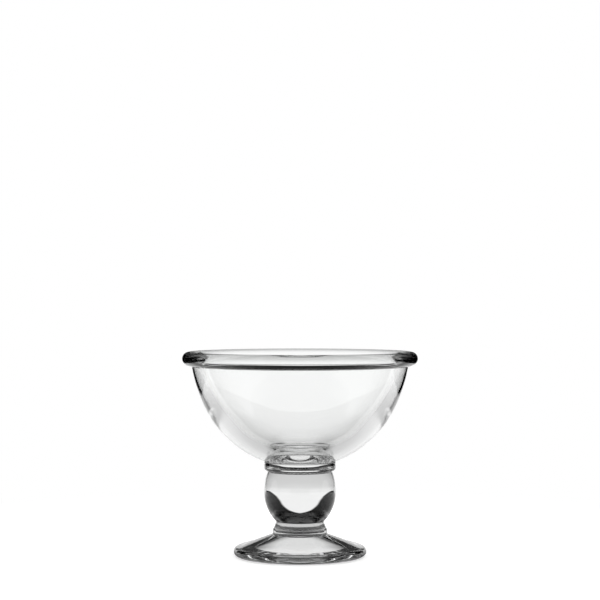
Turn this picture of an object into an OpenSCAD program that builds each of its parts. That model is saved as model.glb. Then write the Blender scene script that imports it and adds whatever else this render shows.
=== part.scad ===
// Low footed dessert glass of clear pressed glass: a round bowl with a rolled rim,
// a ball knop between two collars, and a round foot with a deep hollow underneath.
// Each gather of glass is a piece of its own, and they are fused face to face.
// Millimetres, +Z up. The origin is the middle of the ring that the foot stands on.

/* [Bowl] */
// Height of the bowl, from its seat on the upper collar to the top of the rim
bowl_h = 54.8; // [48:0.1:66]
// Diameter of the bowl's seat on the upper collar
bowl_seat_d = 34.8; // [28:0.1:38]
// Outside radius of the round lower part of the bowl
bowl_curve = 52.4; // [46:0.1:56]
// Angle from straight down at which the outside runs out into the steeper side
bowl_blend_angle = 61; // [50:1:66]
// Thickness of the wall under the rim, measured level
wall_t = 4.2; // [3:0.1:7]
// Thickness of the glass in the middle of the bowl's floor
floor_t = 4.1; // [3:0.1:9]
// Inside radius of the round lower part of the bowl
bowl_inner_curve = 46.6; // [40:0.1:50]
// Angle from straight down at which the inside runs out into the steeper side
inner_blend_angle = 46; // [40:1:60]

/* [Rim] */
// Diameter over the rolled rim
rim_d = 117.9; // [112:0.1:126]
// Radius of the rolled edge, outside
rim_roll = 3.5; // [2.4:0.1:3.7]
// How far the crease under the rim draws in from the rim's edge
crease_inset = 4.9; // [4:0.1:8]
// Depth of that crease below the top of the rim
crease_drop = 7.4; // [7.1:0.1:12]
// Radius of the rim's round inner edge
inner_roll = 4; // [3:0.1:5]
// How much lower the inner edge lies than the top of the rim
inner_drop = 0.6; // [0.2:0.1:1.2]

/* [Upper collar] */
// Height of the upper collar
upper_collar_h = 5.2; // [4:0.1:8]
// How far the upper collar's bead swells out beyond the bowl's seat
bead_swell = 0.5; // [0.2:0.1:2]
// Radius of the bead's lower round
bead_round = 1.8; // [1:0.1:2.4]

/* [Knop] */
// Height of the ball knop
knop_h = 25; // [22:0.1:32]
// How far the knop draws in from its middle to the neck under the upper collar
knop_top_inset = 1.8; // [1:0.1:4]
// How far the knop draws in from its middle to the neck over the lower collar
knop_foot_inset = 5.9; // [4:0.1:8]
// Height of the straight neck under the knop's round
knop_neck_h = 0.3; // [0.2:0.1:2]

/* [Lower collar] */
// Height of the lower collar
lower_collar_h = 5.2; // [4:0.1:8]
// How far the lower collar's band stands out beyond the neck
band_reach = 1.6; // [1:0.1:4]
// Height of the lower collar's upright band
band_h = 2; // [1:0.1:3]

/* [Foot] */
// Height of the foot, from the table to the lower collar
foot_h = 12; // [10:0.1:16]
// Diameter of the foot
foot_d = 66.2; // [58:0.1:80]
// Radius of the fillet where the foot's upper side turns up to the collar
foot_fillet = 1.1; // [0.5:0.1:3]
// Width of the flatter brim round the foot
brim_w = 6.4; // [5:0.1:10]
// Height of the foot where its upper side runs out into the brim
brim_h = 6.4; // [5.8:0.1:7]
// Upper radius of the foot's rounded edge
foot_edge_top = 2.4; // [2:0.1:3]
// How far the foot's edge draws in underneath, down to the ring that it stands on
edge_base_w = 4.2; // [2:0.1:4.6]
// Height of that lower part of the edge
edge_base_h = 2.4; // [1.6:0.1:3]
// Diameter of the hollow under the foot, at the table
hollow_d = 44.8; // [34:0.1:54]
// Diameter of the hollow's flatter top
hollow_top_d = 18.8; // [14:0.1:28]
// Thickness of the glass over the middle of the hollow, up to the lower collar
crown_t = 2.6; // [2:0.1:8]
// Radius of the round between the hollow's side and its top
hollow_round = 2.6; // [1:0.1:5]

/* [Hidden] */
$fn = 180;

// Steps along a curve of the section
steps = 24;

// Heights of the joints between the pieces
lower_collar_z = foot_h;
knop_z = lower_collar_z + lower_collar_h;
upper_collar_z = knop_z + knop_h;
bowl_z = upper_collar_z + upper_collar_h;
rim_z = bowl_z + bowl_h;

// Diameters that follow each other down the stem, from the bowl's seat
bead_d = bowl_seat_d + 2 * bead_swell;
knop_d = bead_d;
knop_top_d = knop_d - 2 * knop_top_inset;
knop_foot_d = knop_d - 2 * knop_foot_inset;
band_d = knop_foot_d + 2 * band_reach;
foot_top_d = band_d;

// Direction of the vector v
function heading(v) = atan2(v.y, v.x);

// Point at angle a on the circle about c with radius r
function at(c, r, a) = c + r * [cos(a), sin(a)];

// Points on an arc about c with radius r, from angle a to angle b
function arc(c, r, a, b) =
    [for (i = [0:steps]) at(c, r, a + (b - a) * i / steps)];

// Points on a quarter of an oval with half axes w and h, from straight down of c to level with it
function oval_quarter(c, w, h) =
    [for (i = [0:steps]) let (a = 90 * (i / steps - 1)) c + [w * cos(a), h * sin(a)]];

// Points on a smooth curve that leaves p towards q and arrives at s from q
function blend(p, q, s) =
    [for (i = [0:steps]) let (t = i / steps) (1 - t) ^ 2 * p + 2 * t * (1 - t) * q + t ^ 2 * s];

// Radius of the arc that leaves t at right angles to n and passes through p
function through_radius(t, n, p) = let (d = p - t) -(d * d) / (2 * (n * d));

// Radius of the arc that stands upright at p and passes through q
function swell_radius(p, q) = norm(q - p) ^ 2 / (2 * (p.x - q.x));

// Angle on the circle about c with radius r where a line from p touches it, on one side or the other
function touch_angle(p, c, r, side) = heading(p - c) + side * acos(r / norm(p - c));

// A wall's section, from below: a round part about the axis with radius r, centred at height z,
// which starts at radius r0 and runs out at the given angle, then a side that ends at p. That side
// steepens, or flares where p lies further out
function bowl_side(r0, r, z, blend_angle, p) =
    let (
        a = blend_angle - 90,
        n = [cos(a), sin(a)],
        t = [0, z] + r * n,
        r2 = through_radius(t, n, p),
        c2 = t - r2 * n
    )
    concat(
        arc([0, z], r, -acos(r0 / r), a),
        arc(c2, r2, a, heading(sign(r2) * (p - c2)))
    );

// Centres of the round lower part of the bowl, outside and inside
bowl_curve_z = bowl_z + sqrt(bowl_curve ^ 2 - (bowl_seat_d / 2) ^ 2);
inner_curve_z = bowl_z + floor_t + bowl_inner_curve;

// The rim is a thick bead with a round edge on either side. The wall meets it in a crease outside,
// and runs out of the inner edge where that turns down and away
inner_end_angle = 209;
crease = [rim_d / 2 - crease_inset, rim_z - crease_drop];
roll_c = [rim_d / 2 - rim_roll, rim_z - rim_roll];
inner_c = [crease.x - wall_t - inner_roll * cos(inner_end_angle), rim_z - inner_drop - inner_roll];
inner_end = at(inner_c, inner_roll, inner_end_angle);

// Section of the rim, from the crease over its top to the inside of the wall
function rim_section() =
    let (
        between = roll_c - inner_c,
        top_angle = heading(between) + acos((inner_roll - rim_roll) / norm(between))
    )
    concat(
        arc(roll_c, rim_roll, touch_angle(crease, roll_c, rim_roll, 1), top_angle),
        arc(inner_c, inner_roll, top_angle, inner_end_angle)
    );

module bowl() {
    outside = bowl_side(bowl_seat_d / 2, bowl_curve, bowl_curve_z, bowl_blend_angle, crease);
    inside = bowl_side(0, bowl_inner_curve, inner_curve_z, inner_blend_angle, inner_end);
    points = concat([[0, bowl_z]], outside, rim_section(), [for (i = [len(inside) - 2:-1:0]) inside[i]]);
    color("whitesmoke", 0.5)
        rotate_extrude()
            polygon(points);
}

// The bead stands upright, is round below, and draws in to the neck over the knop
bead_start_angle = -70;
bead_gap = 0.5;
bead_top_round = 0.5;
bead_top_angle = 60;
module upper_collar() {
    r = bead_d / 2;
    round_c = [r - bead_round, upper_collar_z + bead_gap + bead_round];
    top_c = [r - bead_top_round, bowl_z - bead_top_round];
    color("gainsboro", 0.6)
        rotate_extrude()
            polygon(concat(
                [[0, upper_collar_z], [knop_top_d / 2, upper_collar_z]],
                arc(round_c, bead_round, bead_start_angle, 0),
                arc(top_c, bead_top_round, 0, bead_top_angle),
                [[bowl_seat_d / 2, bowl_z], [0, bowl_z]]
            ));
}

// Where the knop is widest, as a share of its height
knop_mid_share = 0.6;

// The knop is round, with a fuller shoulder above its middle than below
module ball_knop() {
    low = [knop_foot_d / 2, knop_z + knop_neck_h];
    mid = [knop_d / 2, knop_z + knop_h * knop_mid_share];
    high = [knop_top_d / 2, upper_collar_z];
    low_r = swell_radius(mid, low);
    high_r = swell_radius(mid, high);
    low_c = mid - [low_r, 0];
    high_c = mid - [high_r, 0];
    color("gainsboro", 0.6)
        rotate_extrude()
            polygon(concat(
                [[0, knop_z], [low.x, knop_z]],
                arc(low_c, low_r, heading(low - low_c), 0),
                arc(high_c, high_r, 0, heading(high - high_c)),
                [[0, upper_collar_z]]
            ));
}

// From below: an upright band with a rounded top edge, a short cone, and the neck that the knop stands on
band_round_share = 0.25;
band_top_angle = 60;
neck_share = 0.03;
module lower_collar() {
    edge = band_h * band_round_share;
    edge_c = [band_d / 2 - edge, lower_collar_z + band_h - edge];
    neck_r = knop_foot_d / 2;
    color("gainsboro", 0.6)
        rotate_extrude()
            polygon(concat(
                [[0, lower_collar_z], [band_d / 2, lower_collar_z]],
                arc(edge_c, edge, 0, band_top_angle),
                [[neck_r, knop_z - lower_collar_h * neck_share], [neck_r, knop_z], [0, knop_z]]
            ));
}

// Upright stretch between the two curves of the foot's edge
edge_lift = 0.3;
// How far the hollow's top domes up in the middle, and the share of the brim that softens into the slope
hollow_dome = 0.5;
brim_soft_share = 0.7;

// Section of the hollow, from its top on the axis down to the table
function hollow_section() =
    let (
        dome_z = foot_h - crown_t,
        dome_r = hollow_top_d / 2 - hollow_round / 2,
        dome_curve = (dome_r ^ 2 + hollow_dome ^ 2) / (2 * hollow_dome),
        dome_angle = 90 - asin(dome_r / dome_curve),
        dome_c = [0, dome_z - dome_curve],
        round_c = at(dome_c, dome_curve - hollow_round, dome_angle),
        base = [hollow_d / 2, 0]
    )
    concat(
        arc(dome_c, dome_curve, 90, dome_angle),
        arc(round_c, hollow_round, dome_angle, touch_angle(base, round_c, hollow_round, 1)),
        [base]
    );

// Section of the foot's outside, from the table up to the collar
function foot_section() =
    let (
        base_c = [foot_d / 2 - edge_base_w, edge_base_h],
        edge_c = [foot_d / 2 - foot_edge_top, edge_base_h + edge_lift],
        fillet_c = [foot_top_d / 2 + foot_fillet, foot_h],
        brim = [foot_d / 2 - brim_w, brim_h],
        edge_angle = touch_angle(brim, edge_c, foot_edge_top, -1),
        fillet_angle = touch_angle(brim, fillet_c, foot_fillet, -1),
        out = at(edge_c, foot_edge_top, edge_angle) - brim,
        up = at(fillet_c, foot_fillet, fillet_angle) - brim
    )
    concat(
        oval_quarter(base_c, edge_base_w, edge_base_h),
        arc(edge_c, foot_edge_top, 0, edge_angle),
        blend(
            brim + brim_soft_share * out,
            brim,
            brim + brim_soft_share * up * norm(out) / norm(up)
        ),
        arc(fillet_c, foot_fillet, fillet_angle, -180)
    );

module foot() {
    color("gainsboro", 0.6)
        rotate_extrude()
            polygon(concat(hollow_section(), foot_section(), [[0, foot_h]]));
}

bowl();
upper_collar();
ball_knop();
lower_collar();
foot();
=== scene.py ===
"""Low footed dessert glass: five fused pieces of clear pressed glass on a pale table."""

import math

import bpy
import bmesh
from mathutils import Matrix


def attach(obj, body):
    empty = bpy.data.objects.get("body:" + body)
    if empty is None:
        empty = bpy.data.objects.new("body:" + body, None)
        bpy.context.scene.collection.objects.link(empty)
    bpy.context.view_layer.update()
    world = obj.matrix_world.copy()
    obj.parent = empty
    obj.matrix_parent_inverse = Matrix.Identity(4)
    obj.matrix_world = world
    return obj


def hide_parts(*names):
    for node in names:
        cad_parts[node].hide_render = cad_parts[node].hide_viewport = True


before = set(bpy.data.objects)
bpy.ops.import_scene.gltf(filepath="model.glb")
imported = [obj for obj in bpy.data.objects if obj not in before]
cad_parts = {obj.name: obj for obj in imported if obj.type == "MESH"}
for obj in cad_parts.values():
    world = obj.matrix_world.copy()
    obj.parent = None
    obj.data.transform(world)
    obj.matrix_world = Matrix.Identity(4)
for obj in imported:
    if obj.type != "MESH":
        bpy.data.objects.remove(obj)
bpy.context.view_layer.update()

MM = 0.001

# Sizes of the glass, in mm, as in the source
BOWL = dict(h=54.8, seat_r=17.4, curve=52.4, blend=61, wall=4.2, floor=4.1, inner_curve=46.6, inner_blend=46)
RIM = dict(r=58.95, roll=3.5, crease_inset=4.9, crease_drop=7.4, inner_roll=4.0, inner_drop=0.6, inner_end=209)
BEAD = dict(h=5.2, swell=0.5, round=1.8, start=-70, gap=0.5, top_round=0.5, top=60)
KNOP = dict(h=25.0, top_inset=1.8, foot_inset=5.9, neck=0.3, mid_share=0.6)
BAND = dict(h=5.2, reach=1.6, band=2.0, round_share=0.25, top=60, neck_share=0.03)
FOOT = dict(h=12.0, r=33.1, fillet=1.1, brim_w=6.4, brim_h=6.4, edge_top=2.4, base_w=4.2, base_h=2.4, lift=0.3,
            soft=0.7, hollow_r=22.4, hollow_top_r=9.4, crown=2.6, hollow_round=2.6, dome=0.5)

BAND_Z = FOOT["h"]
KNOP_Z = BAND_Z + BAND["h"]
BEAD_Z = KNOP_Z + KNOP["h"]
BOWL_Z = BEAD_Z + BEAD["h"]
RIM_Z = BOWL_Z + BOWL["h"]
BEAD_R = BOWL["seat_r"] + BEAD["swell"]
KNOP_TOP_R = BEAD_R - KNOP["top_inset"]
KNOP_FOOT_R = BEAD_R - KNOP["foot_inset"]
BAND_R = KNOP_FOOT_R + BAND["reach"]

# The tessellated CAD rim lies a little inside its true circle, and the piece stays inside it
RIM_TRIM = 0.12
ARC_STEPS = 24
SMALL_ARC_STEPS = 8
SEGMENTS = 288
# Points nearer than these many metres are one
SAME_POINT = 1e-7
SAME_SEAM = 2e-7
# Faces within this many mm of a joint's height lie in the joint
JOINT_SLACK = 1e-3


# Sections, as points (radius, height)
def at(c, r, degrees):
    a = math.radians(degrees)
    return (c[0] + r * math.cos(a), c[1] + r * math.sin(a))


def arc(c, r, a, b, steps=ARC_STEPS):
    return [at(c, r, a + (b - a) * i / steps) for i in range(steps + 1)]


def oval_quarter(c, w, h, steps=ARC_STEPS):
    """A quarter of an oval, from straight down of c to level with it."""
    angles = [math.radians(90 * (i / steps - 1)) for i in range(steps + 1)]
    return [(c[0] + w * math.cos(a), c[1] + h * math.sin(a)) for a in angles]


def soft_bend(p, q, s, steps=ARC_STEPS):
    """A smooth curve that leaves p towards q and arrives at s from q."""
    points = []
    for i in range(steps + 1):
        t = i / steps
        points.append(tuple((1 - t) ** 2 * p[k] + 2 * t * (1 - t) * q[k] + t * t * s[k] for k in (0, 1)))
    return points


def minus(p, q):
    return (p[0] - q[0], p[1] - q[1])


def heading(v):
    return math.degrees(math.atan2(v[1], v[0]))


def touch_angle(p, c, r, side):
    """Angle on the circle about c where a line from p touches it, on one side or the other."""
    v = minus(p, c)
    return heading(v) + side * math.degrees(math.acos(r / math.hypot(*v)))


def wall_side(r0, r, z, blend_angle, end):
    """A round part about the axis, then a steeper side that ends at end."""
    a = blend_angle - 90
    n = (math.cos(math.radians(a)), math.sin(math.radians(a)))
    t = (r * n[0], z + r * n[1])
    d = minus(end, t)
    r2 = -(d[0] ** 2 + d[1] ** 2) / (2 * (n[0] * d[0] + n[1] * d[1]))
    c2 = (t[0] - r2 * n[0], t[1] - r2 * n[1])
    start = -math.degrees(math.acos(r0 / r))
    return arc((0, z), r, start, a, 2 * ARC_STEPS) + arc(c2, r2, a, heading(minus(end, c2)), 2 * ARC_STEPS)[1:]


def bowl_section():
    b, m = BOWL, RIM
    roll_c = (m["r"] - RIM_TRIM - m["roll"], RIM_Z - m["roll"])
    crease = (m["r"] - m["crease_inset"], RIM_Z - m["crease_drop"])
    end = math.radians(m["inner_end"])
    inner_c = (crease[0] - b["wall"] - m["inner_roll"] * math.cos(end), RIM_Z - m["inner_drop"] - m["inner_roll"])
    inner = (crease[0] - b["wall"], inner_c[1] + m["inner_roll"] * math.sin(end))
    between = minus(roll_c, inner_c)
    top = heading(between) + math.degrees(math.acos((m["inner_roll"] - m["roll"]) / math.hypot(*between)))
    curve_z = BOWL_Z + math.sqrt(b["curve"] ** 2 - b["seat_r"] ** 2)
    inner_z = BOWL_Z + b["floor"] + b["inner_curve"]
    outside = wall_side(b["seat_r"], b["curve"], curve_z, b["blend"], crease)
    inside = wall_side(0, b["inner_curve"], inner_z, b["inner_blend"], inner)
    roll = arc(roll_c, m["roll"], touch_angle(crease, roll_c, m["roll"], 1), top, 2 * ARC_STEPS)
    edge = arc(inner_c, m["inner_roll"], top, m["inner_end"], 2 * ARC_STEPS)
    return [(0, BOWL_Z)] + outside + roll + edge + inside[-2::-1]


def bead_section():
    b = BEAD
    round_c = (BEAD_R - b["round"], BEAD_Z + b["gap"] + b["round"])
    top_c = (BEAD_R - b["top_round"], BOWL_Z - b["top_round"])
    return ([(0, BEAD_Z), (KNOP_TOP_R, BEAD_Z)] + arc(round_c, b["round"], b["start"], 0)
            + arc(top_c, b["top_round"], 0, b["top"], SMALL_ARC_STEPS) + [(BOWL["seat_r"], BOWL_Z), (0, BOWL_Z)])


def knop_section():
    k = KNOP
    low = (KNOP_FOOT_R, KNOP_Z + k["neck"])
    mid = (BEAD_R, KNOP_Z + k["h"] * k["mid_share"])
    high = (KNOP_TOP_R, BEAD_Z)

    def swell(q):
        return ((q[0] - mid[0]) ** 2 + (q[1] - mid[1]) ** 2) / (2 * (mid[0] - q[0]))

    low_c = (mid[0] - swell(low), mid[1])
    high_c = (mid[0] - swell(high), mid[1])
    return ([(0, KNOP_Z), (low[0], KNOP_Z)] + arc(low_c, swell(low), heading(minus(low, low_c)), 0, 2 * ARC_STEPS)
            + arc(high_c, swell(high), 0, heading(minus(high, high_c)))[1:] + [(0, BEAD_Z)])


def band_section():
    b = BAND
    edge = b["band"] * b["round_share"]
    edge_c = (BAND_R - edge, BAND_Z + b["band"] - edge)
    return ([(0, BAND_Z), (BAND_R, BAND_Z)] + arc(edge_c, edge, 0, b["top"], SMALL_ARC_STEPS)
            + [(KNOP_FOOT_R, KNOP_Z - b["h"] * b["neck_share"]), (KNOP_FOOT_R, KNOP_Z), (0, KNOP_Z)])


def foot_section():
    f = FOOT
    dome_z = f["h"] - f["crown"]
    dome_r = f["hollow_top_r"] - f["hollow_round"] / 2
    dome_curve = (dome_r ** 2 + f["dome"] ** 2) / (2 * f["dome"])
    dome_angle = 90 - math.degrees(math.asin(dome_r / dome_curve))
    dome_c = (0, dome_z - dome_curve)
    round_c = at(dome_c, dome_curve - f["hollow_round"], dome_angle)
    base = (f["hollow_r"], 0)
    hollow = (arc(dome_c, dome_curve, 90, dome_angle)
              + arc(round_c, f["hollow_round"], dome_angle, touch_angle(base, round_c, f["hollow_round"], 1))[1:]
              + [base])
    base_c = (f["r"] - f["base_w"], f["base_h"])
    edge_c = (f["r"] - f["edge_top"], f["base_h"] + f["lift"])
    fillet_c = (BAND_R + f["fillet"], f["h"])
    brim = (f["r"] - f["brim_w"], f["brim_h"])
    edge_angle = touch_angle(brim, edge_c, f["edge_top"], -1)
    fillet_angle = touch_angle(brim, fillet_c, f["fillet"], -1)
    out = minus(at(edge_c, f["edge_top"], edge_angle), brim)
    up = minus(at(fillet_c, f["fillet"], fillet_angle), brim)
    share = f["soft"] * math.hypot(*out) / math.hypot(*up)
    bend = soft_bend((brim[0] + f["soft"] * out[0], brim[1] + f["soft"] * out[1]), brim,
                     (brim[0] + share * up[0], brim[1] + share * up[1]))
    return (hollow + oval_quarter(base_c, f["base_w"], f["base_h"]) + arc(edge_c, f["edge_top"], 0, edge_angle)
            + bend + arc(fillet_c, f["fillet"], fillet_angle, -180) + [(0, f["h"])])


# Turning a section into a solid
def node_maker(tree):
    """Adds a node with its input values and links, in one line."""
    def add(kind, inputs=None, **settings):
        node = tree.nodes.new(kind)
        for name, value in settings.items():
            setattr(node, name, value)
        for key, value in (inputs or {}).items():
            if isinstance(value, bpy.types.NodeSocket):
                tree.links.new(value, node.inputs[key])
            else:
                node.inputs[key].default_value = value
        return node
    return add


def turning_tree():
    """Turns a section, drawn in the XZ plane, about the Z axis."""
    tree = bpy.data.node_groups.new("turn a section", "GeometryNodeTree")
    tree.interface.new_socket("Section", in_out="INPUT", socket_type="NodeSocketGeometry")
    segments = tree.interface.new_socket("Segments", in_out="INPUT", socket_type="NodeSocketInt")
    segments.default_value = SEGMENTS
    finish = tree.interface.new_socket("Glass", in_out="INPUT", socket_type="NodeSocketMaterial")
    tree.interface.new_socket("Solid", in_out="OUTPUT", socket_type="NodeSocketGeometry")
    add = node_maker(tree)
    start = add("NodeGroupInput")
    count = add("GeometryNodeAttributeDomainSize", {"Geometry": start.outputs["Section"]})
    rows = add("ShaderNodeMath", {0: start.outputs["Segments"], 1: 1.0}, operation="ADD")
    grid = add("GeometryNodeMeshGrid", {"Size X": 1.0, "Size Y": 1.0, "Vertices X": count.outputs["Point Count"],
                                        "Vertices Y": rows.outputs[0]})
    index = add("GeometryNodeInputIndex")
    column = add("ShaderNodeMath", {0: index.outputs[0], 1: rows.outputs[0]}, operation="DIVIDE")
    column = add("ShaderNodeMath", {0: column.outputs[0]}, operation="FLOOR")
    row = add("ShaderNodeMath", {0: index.outputs[0], 1: rows.outputs[0]}, operation="MODULO")
    turn = add("ShaderNodeMath", {0: row.outputs[0], 1: start.outputs["Segments"]}, operation="DIVIDE")
    angle = add("ShaderNodeMath", {0: turn.outputs[0], 1: math.tau}, operation="MULTIPLY")
    here = add("GeometryNodeInputPosition")
    point = add("GeometryNodeSampleIndex", {"Geometry": start.outputs["Section"], "Value": here.outputs[0],
                                            "Index": column.outputs[0]}, data_type="FLOAT_VECTOR", domain="POINT")
    turned = add("ShaderNodeVectorRotate", {"Vector": point.outputs[0], "Axis": (0.0, 0.0, 1.0),
                                            "Angle": angle.outputs[0]}, rotation_type="AXIS_ANGLE")
    placed = add("GeometryNodeSetPosition", {"Geometry": grid.outputs["Mesh"], "Position": turned.outputs[0]})
    joined = add("GeometryNodeMergeByDistance", {"Geometry": placed.outputs[0], "Distance": SAME_POINT})
    smooth = add("GeometryNodeSetShadeSmooth", {"Geometry": joined.outputs[0]})
    real = add("GeometryNodeRealizeInstances", {"Geometry": smooth.outputs[0]})
    coated = add("GeometryNodeSetMaterial", {"Geometry": real.outputs[0], "Material": start.outputs["Glass"]})
    end = add("NodeGroupOutput")
    tree.links.new(coated.outputs[0], end.inputs[0])
    return tree, segments.identifier, finish.identifier


TURN, SEGMENTS_INPUT, GLASS_INPUT = turning_tree()
CREASE_ANGLE = math.radians(24)
JOINT_HEIGHTS = (BAND_Z, KNOP_Z, BEAD_Z, BOWL_Z)


def turned_piece(name, section, glass, joint):
    """A closed solid of revolution. Its flat faces at the fused joints get the joint's material."""
    profile = bpy.data.meshes.new(name + " section")
    points = [(r * MM, 0, z * MM) for r, z in section]
    profile.from_pydata(points, [(i, i + 1) for i in range(len(points) - 1)], [])
    drawn = bpy.data.objects.new(name + " drawn", profile)
    bpy.context.scene.collection.objects.link(drawn)
    modifier = drawn.modifiers.new("turn", "NODES")
    modifier.node_group = TURN
    modifier[SEGMENTS_INPUT] = SEGMENTS
    modifier[GLASS_INPUT] = glass
    bpy.context.view_layer.update()
    mesh = bpy.data.meshes.new_from_object(drawn.evaluated_get(bpy.context.evaluated_depsgraph_get()))
    bpy.data.objects.remove(drawn)
    work = bmesh.new()
    work.from_mesh(mesh)
    bmesh.ops.remove_doubles(work, verts=work.verts, dist=SAME_SEAM)
    bmesh.ops.dissolve_degenerate(work, edges=work.edges, dist=SAME_POINT)
    bmesh.ops.recalc_face_normals(work, faces=work.faces)
    if work.calc_volume(signed=True) < 0:
        bmesh.ops.reverse_faces(work, faces=work.faces)
    for face in work.faces:
        heights = [v.co.z / MM for v in face.verts]
        level = max(heights) - min(heights) < JOINT_SLACK
        face.material_index = int(level and any(abs(heights[0] - z) < JOINT_SLACK for z in JOINT_HEIGHTS))
        face.smooth = True
    mesh.materials.clear()
    mesh.materials.append(glass)
    mesh.materials.append(joint)
    work.to_mesh(mesh)
    work.free()
    mesh.set_sharp_from_angle(angle=CREASE_ANGLE)
    mesh.name = name
    piece = bpy.data.objects.new(name, mesh)
    bpy.context.scene.collection.objects.link(piece)
    return piece


# Glass
GLASS_IOR = 1.52
# The tint of the glass, from its greener to its clearer patches
TINTS = ((0.985, 0.992, 0.988, 1), (0.995, 0.998, 0.996, 1))


def polish_group():
    """Faint waves of pressed glass that a flame has polished, with a few soft specks."""
    tree = bpy.data.node_groups.new("fire-polished glass", "ShaderNodeTree")
    for name, value in (("Wave size", 18.0), ("Wave height", 0.004), ("Haze", 0.004), ("Painted shade factor", 1.0)):
        tree.interface.new_socket(name, in_out="INPUT", socket_type="NodeSocketFloat").default_value = value
    tree.interface.new_socket("Normal", in_out="OUTPUT", socket_type="NodeSocketVector")
    tree.interface.new_socket("Roughness", in_out="OUTPUT", socket_type="NodeSocketFloat")
    tree.interface.new_socket("Tint", in_out="OUTPUT", socket_type="NodeSocketColor")
    add = node_maker(tree)
    start = add("NodeGroupInput")
    place = add("ShaderNodeTexCoord")
    per_metre = add("ShaderNodeMath", {0: 1000.0, 1: start.outputs["Wave size"]}, operation="DIVIDE")
    waves = add("ShaderNodeTexNoise", {"Vector": place.outputs["Object"], "Scale": per_metre.outputs[0],
                                       "Detail": 1.5, "Roughness": 0.4})
    height = add("ShaderNodeMath", {0: start.outputs["Wave height"], 1: MM}, operation="MULTIPLY")
    bump = add("ShaderNodeBump", {"Height": waves.outputs["Fac"], "Distance": height.outputs[0], "Strength": 1.0})
    patches = add("ShaderNodeTexNoise", {"Vector": place.outputs["Object"], "Scale": 90.0, "Detail": 3.0})
    haze = add("ShaderNodeMath", {0: patches.outputs["Fac"], 1: start.outputs["Haze"]}, operation="MULTIPLY")
    tint = add("ShaderNodeMix", {"Factor": patches.outputs["Fac"], 6: TINTS[0], 7: TINTS[1]}, data_type="RGBA")
    # The last factor darkens the tint: painted shade wherever it is below 1
    tint = add("ShaderNodeMix", {"Factor": 1.0, 6: tint.outputs[2], 7: start.outputs["Painted shade factor"]}, data_type="RGBA",
               blend_type="MULTIPLY")
    end = add("NodeGroupOutput")
    tree.links.new(bump.outputs[0], end.inputs["Normal"])
    tree.links.new(haze.outputs[0], end.inputs["Roughness"])
    tree.links.new(tint.outputs[2], end.inputs["Tint"])
    return tree


POLISH = polish_group()


def shader(name):
    material = bpy.data.materials.new(name)
    material.use_nodes = True
    material.node_tree.nodes.clear()
    return material, node_maker(material.node_tree)


def glass_material(name, wave_size, wave_height, painted_shade_factor=1.0):
    material, add = shader(name)
    polish = add("ShaderNodeGroup", node_tree=POLISH)
    polish.inputs["Wave size"].default_value = wave_size
    polish.inputs["Wave height"].default_value = wave_height
    polish.inputs["Painted shade factor"].default_value = painted_shade_factor
    body = add("ShaderNodeBsdfPrincipled", {"Base Color": polish.outputs["Tint"],
                                            "Roughness": polish.outputs["Roughness"],
                                            "Normal": polish.outputs["Normal"], "Metallic": 0.0, "IOR": GLASS_IOR,
                                            "Transmission Weight": 1.0})
    add("ShaderNodeOutputMaterial", {"Surface": body.outputs[0]})
    return material


def joint_material():
    """Two pieces are one glass where they are fused, so light goes straight through these faces."""
    material, add = shader("fused joint")
    body = add("ShaderNodeBsdfPrincipled", {"Base Color": (1, 1, 1, 1), "Alpha": 0.0, "Roughness": 0.0})
    add("ShaderNodeOutputMaterial", {"Surface": body.outputs[0]})
    return material


BOWL_GLASS = glass_material("bowl glass", wave_size=22.0, wave_height=0.006)
STEM_GLASS = glass_material("stem glass", wave_size=12.0, wave_height=0.003)
# The knop and upper collar get a darker copy of the stem glass: painted shade that darkens what shows through them, of
# which the thick glass's own absorption is only a small part
KNOP_GLASS_PAINTED_SHADE = glass_material("knop glass painted shade", wave_size=12.0, wave_height=0.003, painted_shade_factor=0.88)
FOOT_GLASS = glass_material("foot glass", wave_size=16.0, wave_height=0.004)
JOINT = joint_material()

pieces = {
    "bowl": turned_piece("clear_bowl", bowl_section(), BOWL_GLASS, JOINT),
    "upper_collar": turned_piece("clear_upper_collar", bead_section(), KNOP_GLASS_PAINTED_SHADE, JOINT),
    "ball_knop": turned_piece("clear_ball_knop", knop_section(), KNOP_GLASS_PAINTED_SHADE, JOINT),
    "lower_collar": turned_piece("clear_lower_collar", band_section(), STEM_GLASS, JOINT),
    "foot": turned_piece("clear_foot", foot_section(), FOOT_GLASS, JOINT),
}
for node, piece in pieces.items():
    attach(piece, "root")
    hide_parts(node)


# Table and studio
def light_kind(add):
    """Masks of what looks at a surface of the studio: the camera, or light on its way through glass."""
    path = add("ShaderNodeLightPath")
    seen = add("ShaderNodeMath", {0: path.outputs["Is Transmission Ray"], 1: path.outputs["Is Glossy Ray"]},
               operation="MAXIMUM")
    return path.outputs["Is Camera Ray"], seen.outputs[0]


def ramp(add, value, stops):
    node = add("ShaderNodeValToRGB", {"Fac": value})
    elements = node.color_ramp.elements
    for element, (place, level) in zip(elements, (stops[0], stops[-1])):
        element.position, element.color = place, (level, level, level, 1)
    for place, level in stops[1:-1]:
        elements.new(place).color = (level, level, level, 1)
    return node.outputs["Color"]


def math_node(add, operation, a, b=0.0):
    return add("ShaderNodeMath", {0: a, 1: b}, operation=operation).outputs[0]


TABLE_RADIUS = 6.0
# The table lies this far under the glass, so that the two don't share a plane
TABLE_DROP = 0.00005
TABLE_REACH = 0.35
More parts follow.
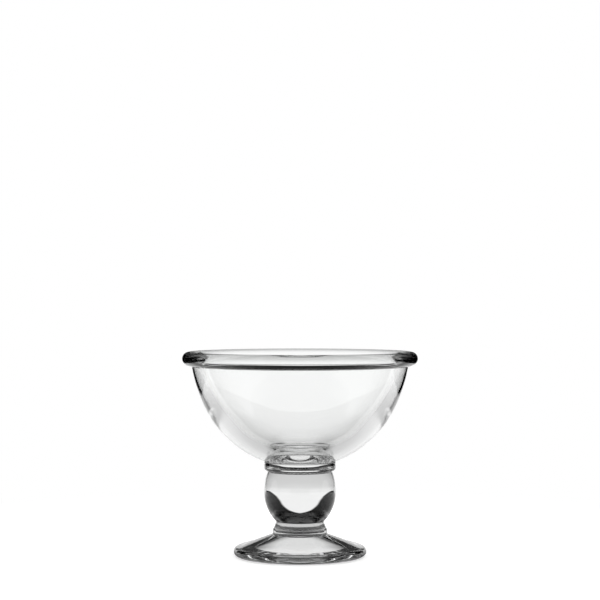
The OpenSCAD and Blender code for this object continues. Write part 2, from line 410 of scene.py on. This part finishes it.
# Painted light of the table, which the glass sees glowing from it, at shares of its reach: towards the backdrop, to
# the sides, and on the camera's side
# The dip near the foot's edge, at about a tenth of the reach, is a painted shadow of the foot, and the rise further
# out a painted pool of light
TABLE_PAINTED_LIGHT_AHEAD = ((0.0, 0.82), (0.034, 0.82), (0.056, 0.5), (0.068, 0.06), (0.1, 0.04), (0.115, 0.45), (0.14, 0.62),
               (0.22, 0.64), (0.31, 0.75), (0.44, 0.78), (0.54, 0.86), (0.69, 0.98), (0.83, 1.0), (1.0, 1.0))
TABLE_PAINTED_LIGHT_ASIDE = ((0.0, 0.8), (0.034, 0.8), (0.056, 0.5), (0.068, 0.04), (0.1, 0.03), (0.12, 0.35), (0.19, 0.6),
               (0.29, 0.75), (0.36, 0.87), (0.44, 0.9), (0.83, 0.85), (1.0, 0.75))
TABLE_PAINTED_LIGHT_BEHIND = ((0.0, 0.8), (0.034, 0.85), (0.054, 0.9), (0.083, 0.9), (0.094, 0.25), (0.109, 0.2), (0.12, 0.4),
                (0.143, 0.45), (0.19, 0.6), (0.29, 0.75), (0.36, 0.87), (0.44, 0.9), (0.83, 0.85), (1.0, 0.75))
# Between these turns from straight ahead, in degrees, the first runs into the second, and that into the third
ASIDE_TURN = (60, 95)
BEHIND_TURN = (110, 135)
# On the camera's side, from this turn and this share of the reach on, it falls to this part of its light
NEAR_TURN = (105, 150)
NEAR_SHARE = (0.14, 0.25)
TABLE_NEAR = 0.45
PAPER = (0.9, 0.9, 0.9, 1)
PAPER_GLOW = 0.62
# Distances from the glass between which the paper runs into the white of the backdrop
SWEEP = (0.06, 0.3)
WHITE = (1, 1, 1, 1)


def step(add, value, span, to=(0.0, 1.0), kind="LINEAR"):
    """Runs from the first level to the second while the value runs through the span."""
    node = add("ShaderNodeMapRange", {"Value": value, "From Min": span[0], "From Max": span[1], "To Min": to[0],
                                      "To Max": to[1]}, interpolation_type=kind)
    return node.outputs[0]


def radians(span):
    return tuple(math.radians(degrees) for degrees in span)


def table():
    bpy.ops.mesh.primitive_circle_add(vertices=96, radius=TABLE_RADIUS, fill_type="NGON", location=(0, 0, -TABLE_DROP))
    floor = bpy.context.active_object
    floor.name = "table"
    material, add = shader("pale table")
    camera, through = light_kind(add)
    place = add("ShaderNodeTexCoord")
    flat = add("ShaderNodeSeparateXYZ", {0: place.outputs["Object"]})
    reach = add("ShaderNodeVectorMath", {0: place.outputs["Object"]}, operation="LENGTH").outputs["Value"]
    share = math_node(add, "DIVIDE", reach, TABLE_REACH)
    turn = math_node(add, "ABSOLUTE", math_node(add, "ARCTAN2", flat.outputs[0], flat.outputs[1]))
    painted_pool = add("ShaderNodeMix", {"Factor": step(add, turn, radians(ASIDE_TURN)), 6: ramp(add, share, TABLE_PAINTED_LIGHT_AHEAD),
                                 7: ramp(add, share, TABLE_PAINTED_LIGHT_ASIDE)}, data_type="RGBA")
    painted_pool = add("ShaderNodeMix", {"Factor": step(add, turn, radians(BEHIND_TURN)), 6: painted_pool.outputs[2],
                                 7: ramp(add, share, TABLE_PAINTED_LIGHT_BEHIND)}, data_type="RGBA")
    near = math_node(add, "MULTIPLY", step(add, turn, radians(NEAR_TURN)), step(add, share, NEAR_SHARE))
    near = step(add, near, (0.0, 1.0), (1.0, TABLE_NEAR))
    painted_pool = add("ShaderNodeMix", {"Factor": 1.0, 6: painted_pool.outputs[2], 7: near}, data_type="RGBA",
               blend_type="MULTIPLY")
    matt = add("ShaderNodeBsdfDiffuse", {"Color": PAPER})
    white = add("ShaderNodeEmission", {"Color": WHITE, "Strength": PAPER_GLOW})
    shown = add("ShaderNodeAddShader", {0: matt.outputs[0], 1: white.outputs[0]})
    bright = add("ShaderNodeEmission", {"Color": WHITE, "Strength": 1.0})
    shown = add("ShaderNodeMixShader", {"Fac": step(add, reach, SWEEP, kind="SMOOTHSTEP"), 1: shown.outputs[0],
                                        2: bright.outputs[0]})
    # Rays through the glass see the table glow with this painted light and painted shadow, in place of lamp light
    lit = add("ShaderNodeEmission", {"Color": painted_pool.outputs[2], "Strength": 1.0})
    other = add("ShaderNodeMixShader", {"Fac": through, 1: matt.outputs[0], 2: lit.outputs[0]})
    both = add("ShaderNodeMixShader", {"Fac": camera, 1: other.outputs[0], 2: shown.outputs[0]})
    add("ShaderNodeOutputMaterial", {"Surface": both.outputs[0]})
    floor.data.materials.append(material)


BACKDROP_RADIUS = 0.35
BACKDROP_HEIGHT = 0.42
DARK = 0.001
# Turns on the wall are in quarter turns from straight behind the glass, to either side
QUARTER = 90
# Half width of the lit window in degrees, at shares of its greatest height
WINDOW_REACH = 0.147
WINDOW = ((0.0, 44), (0.05, 37.5), (0.11, 32.5), (0.18, 28), (0.34, 23), (0.5, 20.5), (0.6, 17.8), (0.74, 12.5),
          (0.82, 5.7), (0.87, 0))
WINDOW_TOP = (WINDOW_REACH * 0.93, WINDOW_REACH * 0.8)
WINDOW_EDGE = (-0.025, 0.03)
WINDOW_LEVEL = 1.07
# A narrower, dimmer window at each side, and a low strip of light further round
SIDE_TURN = 1.0
SIDE_SHARE = 0.75
SIDE_LEVEL = 0.75
STRIP_START = (1.2, 1.35)
STRIP_END = (1.72, 1.62)
STRIP_TOP = (0.085, 0.05)
STRIP_LEVEL = 0.8
# Soft boxes high on both sides, brighter towards the top of the wall
BOX_START = (0.35, 0.6)
BOX_END = (1.6, 1.2)
BOX_HEIGHT = (0.15, 0.42)
BOX_LEVEL = 0.5


def backdrop():
    """A round studio wall. Through the glass it shows a lit window behind the glass and dark cloth around it."""
    bpy.ops.mesh.primitive_cylinder_add(vertices=128, radius=BACKDROP_RADIUS, depth=BACKDROP_HEIGHT,
                                        end_fill_type="NOTHING", location=(0, 0, BACKDROP_HEIGHT / 2))
    wall = bpy.context.active_object
    wall.name = "backdrop"
    bpy.ops.object.transform_apply(location=True, rotation=False, scale=False)
    material, add = shader("lit backdrop")
    through = light_kind(add)[1]
    place = add("ShaderNodeTexCoord")
    flat = add("ShaderNodeSeparateXYZ", {0: place.outputs["Object"]})
    z = flat.outputs[2]
    turn = math_node(add, "ABSOLUTE", math_node(add, "ARCTAN2", flat.outputs[0], flat.outputs[1]))
    turn = math_node(add, "DIVIDE", turn, math.pi / 2)

    def band(value, span, bright=1.0):
        """A soft step from nothing at the span's first value to bright at its second."""
        return step(add, value, span, (0.0, bright), "SMOOTHSTEP")

    def times(*levels):
        product = levels[0]
        for factor in levels[1:]:
            product = math_node(add, "MULTIPLY", product, factor)
        return product

    half = ramp(add, math_node(add, "DIVIDE", z, WINDOW_REACH), [(share, wide / QUARTER) for share, wide in WINDOW])
    under = band(z, WINDOW_TOP)
    window = times(band(math_node(add, "SUBTRACT", half, turn), WINDOW_EDGE, WINDOW_LEVEL), under)
    away = math_node(add, "ABSOLUTE", math_node(add, "SUBTRACT", turn, SIDE_TURN))
    side = math_node(add, "SUBTRACT", times(half, SIDE_SHARE), away)
    side = times(band(side, WINDOW_EDGE, SIDE_LEVEL), under)
    strip = times(band(turn, STRIP_START, STRIP_LEVEL), band(turn, STRIP_END), band(z, STRIP_TOP))
    window = math_node(add, "ADD", window, math_node(add, "MAXIMUM", side, strip))
    boxes = times(band(turn, BOX_START), band(turn, BOX_END), band(z, BOX_HEIGHT, BOX_LEVEL))
    level = math_node(add, "ADD", math_node(add, "ADD", window, boxes), DARK)
    lit = add("ShaderNodeEmission", {"Color": WHITE, "Strength": level})
    clear = add("ShaderNodeBsdfTransparent")
    both = add("ShaderNodeMixShader", {"Fac": through, 1: clear.outputs[0], 2: lit.outputs[0]})
    add("ShaderNodeOutputMaterial", {"Surface": both.outputs[0]})
    wall.data.materials.append(material)


SKY_LEVEL = 0.35


def sky():
    """White to the camera, dark cloth to the glass, and a soft even light on the table."""
    world = bpy.data.worlds.new("studio")
    world.use_nodes = True
    world.node_tree.nodes.clear()
    add = node_maker(world.node_tree)
    camera, through = light_kind(add)
    dark = add("ShaderNodeMix", {"Factor": through, 6: (SKY_LEVEL, SKY_LEVEL, SKY_LEVEL, 1),
                                 7: (DARK, DARK, DARK, 1)}, data_type="RGBA")
    shown = add("ShaderNodeMix", {"Factor": camera, 6: dark.outputs[2], 7: WHITE}, data_type="RGBA")
    light = add("ShaderNodeBackground", {"Color": shown.outputs[2], "Strength": 1.0})
    add("ShaderNodeOutputWorld", {"Surface": light.outputs[0]})
    bpy.context.scene.world = world


def soft_box(name, place, size, power):
    """A round lamp that faces down, left out of what the glass shows."""
    lamp = bpy.data.lights.new(name, "AREA")
    lamp.shape = "DISK"
    lamp.size = size
    lamp.energy = power
    holder = bpy.data.objects.new(name, lamp)
    holder.location = place
    holder.visible_glossy = False
    holder.visible_transmission = False
    bpy.context.scene.collection.objects.link(holder)


table()
backdrop()
sky()
soft_box("overhead soft box", place=(0.0, 0.0, 1.0), size=0.9, power=12.0)

# Camera, level with the photograph's
PICTURE = 600
FOCAL_PIXELS = 1754
SENSOR = 36.0
CAMERA_PLACE = (0.0, -0.877, 0.128)
camera_data = bpy.data.cameras.new("camera")
camera_data.sensor_width = SENSOR
camera_data.lens = FOCAL_PIXELS / PICTURE * SENSOR
camera_data.clip_start = 0.01
camera = bpy.data.objects.new("camera", camera_data)
camera.location = CAMERA_PLACE
camera.rotation_euler = (math.radians(90), 0, 0)
bpy.context.scene.collection.objects.link(camera)
bpy.context.scene.camera = camera

scene = bpy.context.scene
scene.view_settings.view_transform = "Standard"
scene.cycles.max_bounces = 24
scene.cycles.transmission_bounces = 24
scene.cycles.glossy_bounces = 16
scene.cycles.transparent_max_bounces = 32
